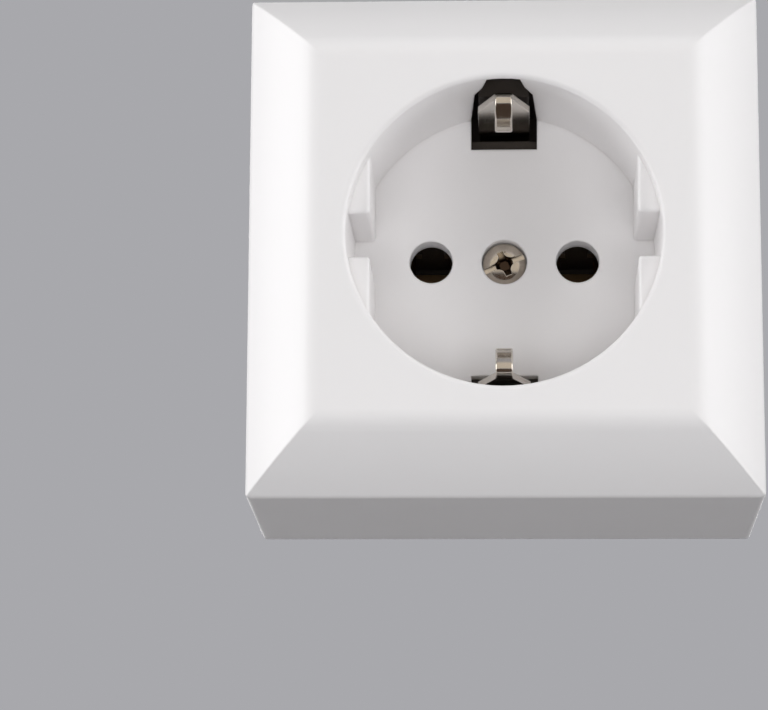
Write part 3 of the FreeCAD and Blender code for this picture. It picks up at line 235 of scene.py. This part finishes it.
def make_level_sheet(name, half_width, back, front, level, material):
    mesh = bpy.data.meshes.new(name)
    corners = [(-half_width, front), (half_width, front), (half_width, back), (-half_width, back)]
    mesh.from_pydata([(x, y, level) for x, y in corners], [], [(0, 1, 2, 3)])
    mesh.materials.append(material)
    sheet = bpy.data.objects.new(name, mesh)
    scene.collection.objects.link(sheet)
    return sheet


floor_paper = plain_material("floor_paper", FLOOR_COLOUR, FLOOR_ROUGHNESS)
show_pale(floor_paper, BACKDROP, PALE_SHARE)
make_level_sheet("studio_floor", FLOOR_HALF, FLOOR_HALF, -FLOOR_HALF, FLOOR_LEVEL, floor_paper)
dark_card = plain_material("dark_card", CARD_COLOUR, CARD_ROUGHNESS)
mat = make_level_sheet("dark_mat", MAT_HALF, MAT_BACK, MAT_FRONT, FLOOR_LEVEL + MAT_LIFT, dark_card)
mat.visible_camera = False
mat.visible_diffuse = False
mat.visible_shadow = False
print(f"floor {-FLOOR_LEVEL} m below the middle of the socket, mat to {-MAT_FRONT} m in front")

# %% [markdown]
# ## Empty node groups
# An effect that several finishes share is built once as a node group, a small box of nodes with named inputs
# and outputs. It could be copied into each material instead, but then a correction would have to be made many
# times.

# %% Group helper
def new_group(name, inputs, outputs):
    """Empty node group with named number inputs and the given outputs."""
    group = bpy.data.node_groups.new(name, "ShaderNodeTree")
    for socket_name, value in inputs.items():
        socket = group.interface.new_socket(name=socket_name, in_out="INPUT", socket_type=FLOAT)
        socket.default_value = value
    for socket_name, kind in outputs.items():
        group.interface.new_socket(name=socket_name, in_out="OUTPUT", socket_type=kind)
    return group, group.nodes.new("NodeGroupInput"), group.nodes.new("NodeGroupOutput")


def add_noise(tree, place, size_in_mm, detail):
    """Noise with patches of the given size, which may be a value or a socket."""
    scale = calculate(tree, "DIVIDE", 1.0 / MM, size_in_mm)
    noise = {"Vector": place, "Scale": scale, "Detail": detail}
    return add_node(tree, "ShaderNodeTexNoise", noise).outputs[0]


print("group helpers ready")

# %% [markdown]
# ## Moulded skin
# Plastic never leaves its mould perfectly smooth. The steel of the mould has a fine grain, the wall sinks a
# little as it cools, and the colour is not mixed quite evenly. A picture of a surface could show that, but
# three noises of different size do it without any picture and at every distance. Sizes are given in
# millimetres.

# %% Group: moulded skin
SKIN_SIZES = {"Grain Size": 0.3, "Wave Size": 8.0, "Cloud Size": 30.0}
SKIN_DETAIL = 2.0


def make_moulded_skin():
    outputs = {"Grain": FLOAT, "Wave": FLOAT, "Cloud": FLOAT}
    group, start, end = new_group("moulded_skin", SKIN_SIZES, outputs)
    place = add_node(group, "ShaderNodeTexCoord").outputs["Object"]
    for name in outputs:
        join(group, add_noise(group, place, start.outputs[f"{name} Size"], SKIN_DETAIL), end.inputs[name])
    return group


moulded_skin = make_moulded_skin()
print(f"{moulded_skin.name}: {len(moulded_skin.nodes)} nodes")

# %% [markdown]
# ## Soft edges
# A real edge always has a small radius, and that thin line of changing light is what tells the eye how sharp
# it is. The large radii are in the CAD model. The smallest ones, a few tenths of a millimetre, come from the
# Bevel node, which bends the shading normal near an edge and leaves the mesh alone. How far it bends also
# marks the edges, where plating gets rubbed bright. The bend is measured by the cosine of its angle.

# %% Group: soft edges
BEVEL_SAMPLES = 6
BEND_STARTS = 0.99
BEND_FULL = 0.85


def make_soft_edges():
    group, start, end = new_group("soft_edges", {"Radius": 0.2}, {"Normal": VECTOR, "Edge": FLOAT})
    radius = calculate(group, "MULTIPLY", start.outputs["Radius"], MM)
    bent = add_node(group, "ShaderNodeBevel", {"Radius": radius}, samples=BEVEL_SAMPLES).outputs[0]
    plain = add_node(group, "ShaderNodeNewGeometry").outputs["Normal"]
    same = add_node(group, "ShaderNodeVectorMath", {0: bent, 1: plain}, operation="DOT_PRODUCT")
    join(group, bent, end.inputs["Normal"])
    join(group, fade(group, same.outputs["Value"], BEND_STARTS, BEND_FULL), end.inputs["Edge"])
    return group


soft_edges = make_soft_edges()
print(f"{soft_edges.name}: {len(soft_edges.nodes)} nodes")

# %% [markdown]
# ## Grime and painted shade
# Dust and old grease stay where no cloth reaches: in slots, in corners, under heads. Ambient occlusion
# measures just that, how closed-in a point is, and a noise breaks the result up so that it does not look
# sprayed on. These are also the places where shade falls, so a finish that darkens them paints shade into its
# colour as well as grime.

# %% Group: grime and painted shade
SKY_SAMPLES = 8
OPEN_SKY = 0.85
CLOSED_SKY = 0.25
PATCH_DETAIL = 3.0
PATCH_STARTS = 0.3
PATCH_FULL = 0.6
PATCH_LEAST = 0.55


def make_grime_and_shade_group():
    group, start, end = new_group("settled_grime", {"Reach": 1.0, "Patch Size": 1.5}, {"Grime And Shade": FLOAT})
    reach = calculate(group, "MULTIPLY", start.outputs["Reach"], MM)
    sky = add_node(group, "ShaderNodeAmbientOcclusion", {"Distance": reach}, samples=SKY_SAMPLES)
    # Closed-in points get the mask: where a finish darkens them, this is painted shade as well as grime.
    closed = fade(group, sky.outputs["AO"], OPEN_SKY, CLOSED_SKY)
    place = add_node(group, "ShaderNodeTexCoord").outputs["Object"]
    patches = add_noise(group, place, start.outputs["Patch Size"], PATCH_DETAIL)
    patchy = fade(group, patches, PATCH_STARTS, PATCH_FULL, PATCH_LEAST)
    join(group, calculate(group, "MULTIPLY", closed, patchy), end.inputs["Grime And Shade"])
    return group


settled_grime = make_grime_and_shade_group()
print(f"{settled_grime.name}: {len(settled_grime.nodes)} nodes")

# %% [markdown]
# ## Rolled marks
# Sheet metal carries faint lines from the rolls, all along the strip; screws are tumbled in a drum and show a
# short, even mottle instead. One noise does both: stretched far along Y and Z, the way all strips in this
# socket run, it gives lines, and left unstretched it gives the mottle.

# %% Group: rolled marks
MARK_SIZES = {"Mark Size": 0.1, "Stretch": 30.0, "Cloud Size": 3.0}
MARK_DETAIL = 3.0


def make_rolled_marks():
    group, start, end = new_group("rolled_marks", MARK_SIZES, {"Marks": FLOAT, "Cloud": FLOAT})
    place = add_node(group, "ShaderNodeTexCoord").outputs["Object"]
    apart = add_node(group, "ShaderNodeSeparateXYZ", {0: place}).outputs
    stretch = start.outputs["Stretch"]
    along = {axis: calculate(group, "DIVIDE", apart[axis], stretch) for axis in ("Y", "Z")}
    drawn = add_node(group, "ShaderNodeCombineXYZ", {"X": apart["X"], **along}).outputs[0]
    join(group, add_noise(group, drawn, start.outputs["Mark Size"], MARK_DETAIL), end.inputs["Marks"])
    join(group, add_noise(group, place, start.outputs["Cloud Size"], MARK_DETAIL), end.inputs["Cloud"])
    return group


rolled_marks = make_rolled_marks()
print(f"{rolled_marks.name}: {len(rolled_marks.nodes)} nodes")

# %% [markdown]
# ## Mixing a finish
# A finish starts from its plain colour and lays effects over it one after the other, as layers of paint.
# These helpers place a group, mix two colours by a mask, spread a noise over a range of values, and turn a
# height into a bump. The depth of a bump is given in micrometres, because that is how fine real surfaces are.
# A Mix node has sockets for every kind of data under the same names, so those for colours go by number.

# %% Finish helpers
MICRON = 0.001 * MM
NOISE_LOW = 0.3
NOISE_HIGH = 0.7
MIX_MASK = 0
MIX_UNDER = 6
MIX_OVER = 7
MIX_COLOUR = 2


def place_group(tree, group, values):
    node = add_node(tree, "ShaderNodeGroup", node_tree=group)
    for socket, value in values.items():
        node.inputs[socket].default_value = value
    return node.outputs


def layer(tree, mask, under, over):
    """Colour that is `under` where the mask is 0 and `over` where it is 1."""
    mix = add_node(tree, "ShaderNodeMix", data_type="RGBA")
    for socket, source in ((MIX_MASK, mask), (MIX_UNDER, under), (MIX_OVER, over)):
        join(tree, source, mix.inputs[socket])
    return mix.outputs[MIX_COLOUR]


def spread(tree, noise, low, high):
    """Spreads a noise, whose values lie mostly in the middle, from low to high."""
    return fade(tree, noise, NOISE_LOW, NOISE_HIGH, low, high)


def raise_by(tree, height, microns, normal):
    bump = {"Height": height, "Distance": microns * MICRON, "Normal": normal}
    return add_node(tree, "ShaderNodeBump", bump).outputs[0]


def new_finish(name):
    material = bpy.data.materials.new(name)
    material.use_nodes = True
    tree = material.node_tree
    return material, tree, tree.nodes["Principled BSDF"].inputs


print("finish helpers ready")

# %% [markdown]
# ## White and black mouldings
# The hood is a glossy urea or polycarbonate moulding, white with a trace of warmth. Base, block and retainer
# are a dull black one. They are the same kind of surface, so one function makes both, each with its own
# colours, gloss and depth of grain. A single flat colour would look like paper: it is the slight cloudiness,
# the soft edges and the dust in the corners that make it plastic. On the white hood the corner colour is a
# darker grey, so it paints shade into the corners as well as dust. On the black it is lighter, and it is dust
# alone.

# %% Mouldings
MOULDING_CORNER_MASK = {"Reach": 1.2, "Patch Size": 2.5}
SINK_DEPTH = 3.0


def make_moulding(name, colour, cloud, corner_colour, corner_share, roughness, grain_depth, edge_radius):
    material, tree, shader = new_finish(name)
    skin = place_group(tree, moulded_skin, SKIN_SIZES)
    edges = place_group(tree, soft_edges, {"Radius": edge_radius})
    grime = place_group(tree, settled_grime, MOULDING_CORNER_MASK)
    clouded = layer(tree, spread(tree, skin["Cloud"], 0.0, 1.0), colour, cloud)
    # White hood: darker corner colour, which is dust plus painted shade in closed-in corners. Black: lighter
    # corner colour, which is dust.
    with_corners = layer(tree, calculate(tree, "MULTIPLY", grime["Grime And Shade"], corner_share), clouded, corner_colour)
    join(tree, with_corners, shader["Base Color"])
    join(tree, spread(tree, skin["Grain"], *roughness), shader["Roughness"])
    sunk = raise_by(tree, skin["Wave"], SINK_DEPTH, edges["Normal"])
    join(tree, raise_by(tree, skin["Grain"], grain_depth, sunk), shader["Normal"])
    return material


white_moulding = make_moulding(
    "white_moulding", colour=(0.905, 0.889, 0.893, 1.0), cloud=(0.895, 0.880, 0.883, 1.0),
    corner_colour=(0.62, 0.59, 0.56, 1.0), corner_share=0.25,
    roughness=(0.36, 0.44), grain_depth=0.8, edge_radius=0.45,
)
black_moulding = make_moulding(
    "black_moulding", colour=(0.044, 0.036, 0.031, 1.0), cloud=(0.054, 0.045, 0.038, 1.0),
    corner_colour=(0.085, 0.072, 0.062, 1.0), corner_share=0.35,
    roughness=(0.46, 0.60), grain_depth=4.0, edge_radius=0.25,
)
print(white_moulding.name, black_moulding.name)

# %% [markdown]
# ## Plated and bare metals
# Nickel, zinc, brass and spring steel differ in colour and in how they age, not in how they are built up: a
# metal with rolled marks, rubbed bright on its edges and darkened where it is closed in, with grime, tarnish
# and painted shade. Metals have no colour of their own besides what they reflect, so roughness matters most
# here.
# In the cross of a screw, below a given depth, the colour is painted dark as the shade of the deep recess.

# %% Metals
METAL_EDGE = 0.12
METAL_PATCH = 0.8
MARK_DEPTH = 0.3
STRIP_MARKS = {"Mark Size": 0.12, "Stretch": 30.0, "Cloud Size": 4.0}
SCREW_MARKS = {"Mark Size": 0.25, "Stretch": 1.0, "Cloud Size": 1.5}
DEEP_SHADE_STARTS = 0.95 * MM
DEEP_SHADE_FULL = 1.35 * MM


# Painted shade: this mask darkens everything deeper than a given depth, as the shade inside a recess would.
def painted_shade_below(tree, start, full):
    """Mask that is 0 in front of one depth and 1 behind another, both measured along Y."""
    place = add_node(tree, "ShaderNodeTexCoord").outputs["Object"]
    return fade(tree, add_node(tree, "ShaderNodeSeparateXYZ", {0: place}).outputs["Y"], start, full)


def make_metal(name, colour, cloud, rubbed, grime_and_shade_colour, grime_and_shade_share, roughness, marks, reach, deep_shade=None):
    material, tree, shader = new_finish(name)
    shader["Metallic"].default_value = 1.0
    rolled = place_group(tree, rolled_marks, marks)
    edges = place_group(tree, soft_edges, {"Radius": METAL_EDGE})
    grime = place_group(tree, settled_grime, {"Reach": reach, "Patch Size": METAL_PATCH})
    # Closed-in places are darkened with grime and with painted shade.
    dirt_and_shade = calculate(tree, "MULTIPLY", grime["Grime And Shade"], grime_and_shade_share)
    if deep_shade:
        dirt_and_shade = calculate(tree, "MAXIMUM", dirt_and_shade, painted_shade_below(tree, *deep_shade))
    clouded = layer(tree, spread(tree, rolled["Cloud"], 0.0, 1.0), colour, cloud)
    worn = layer(tree, edges["Edge"], clouded, rubbed)
    join(tree, layer(tree, dirt_and_shade, worn, grime_and_shade_colour), shader["Base Color"])
    join(tree, spread(tree, rolled["Marks"], *roughness), shader["Roughness"])
    join(tree, raise_by(tree, rolled["Marks"], MARK_DEPTH, edges["Normal"]), shader["Normal"])
    return material


dome_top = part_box("cover_screw")[0].y
nickel_strip = make_metal(
    "nickel_strip", colour=(0.72, 0.67, 0.61, 1.0), cloud=(0.64, 0.60, 0.54, 1.0),
    rubbed=(0.84, 0.81, 0.76, 1.0), grime_and_shade_colour=(0.10, 0.075, 0.055, 1.0), grime_and_shade_share=0.35,
    roughness=(0.12, 0.20), marks=STRIP_MARKS, reach=0.6,
)
nickel_screw = make_metal(
    "nickel_screw", colour=(0.74, 0.68, 0.60, 1.0), cloud=(0.62, 0.57, 0.50, 1.0),
    rubbed=(0.86, 0.82, 0.76, 1.0), grime_and_shade_colour=(0.06, 0.040, 0.028, 1.0), grime_and_shade_share=0.45,
    roughness=(0.14, 0.24), marks=SCREW_MARKS, reach=0.5,
    # Painted shade in the screw's cross below this depth.
    deep_shade=(dome_top + DEEP_SHADE_STARTS, dome_top + DEEP_SHADE_FULL),
)
# Inside the pin holes this dark grime colour also paints the shade of the holes.
tarnished_brass = make_metal(
    "tarnished_brass", colour=(0.40, 0.27, 0.15, 1.0), cloud=(0.30, 0.20, 0.11, 1.0),
    rubbed=(0.60, 0.44, 0.25, 1.0), grime_and_shade_colour=(0.07, 0.050, 0.032, 1.0), grime_and_shade_share=0.7,
    roughness=(0.32, 0.48), marks=STRIP_MARKS, reach=1.5,
)
spring_steel = make_metal(
    "spring_steel", colour=(0.34, 0.34, 0.35, 1.0), cloud=(0.26, 0.26, 0.28, 1.0),
    rubbed=(0.55, 0.55, 0.56, 1.0), grime_and_shade_colour=(0.06, 0.050, 0.042, 1.0), grime_and_shade_share=0.7,
    roughness=(0.28, 0.42), marks=STRIP_MARKS, reach=1.0,
)
zinc_steel = make_metal(
    "zinc_steel", colour=(0.60, 0.61, 0.63, 1.0), cloud=(0.50, 0.51, 0.52, 1.0),
    rubbed=(0.72, 0.73, 0.74, 1.0), grime_and_shade_colour=(0.10, 0.090, 0.080, 1.0), grime_and_shade_share=0.7,
    roughness=(0.28, 0.44), marks=SCREW_MARKS, reach=1.0,
)
print(f"{len(bpy.data.materials)} materials")

# %% [markdown]
# ## Putting the finishes on
# The record of the part names a finish for each piece. Only the nickel differs: rolled strip for the earth
# bracket and tumbled screw for the middle of the recess.

# %% Assign finishes
FINISH_OF_SLOT = {
    "white_moulding": white_moulding,
    "black_moulding": black_moulding,
    "nickel_plate": nickel_strip,
    "brass": tarnished_brass,
    "spring_steel": spring_steel,
    "zinc_steel": zinc_steel,
}
finish_of = {part["node"]: FINISH_OF_SLOT[part["material_slot"]] for part in frame["record"]["subparts"]}
finish_of["cover_screw"] = nickel_screw
for node_name, node in nodes.items():
    node.data.materials.clear()
    node.data.materials.append(finish_of[node_name])
print(f"{len(finish_of)} pieces finished")
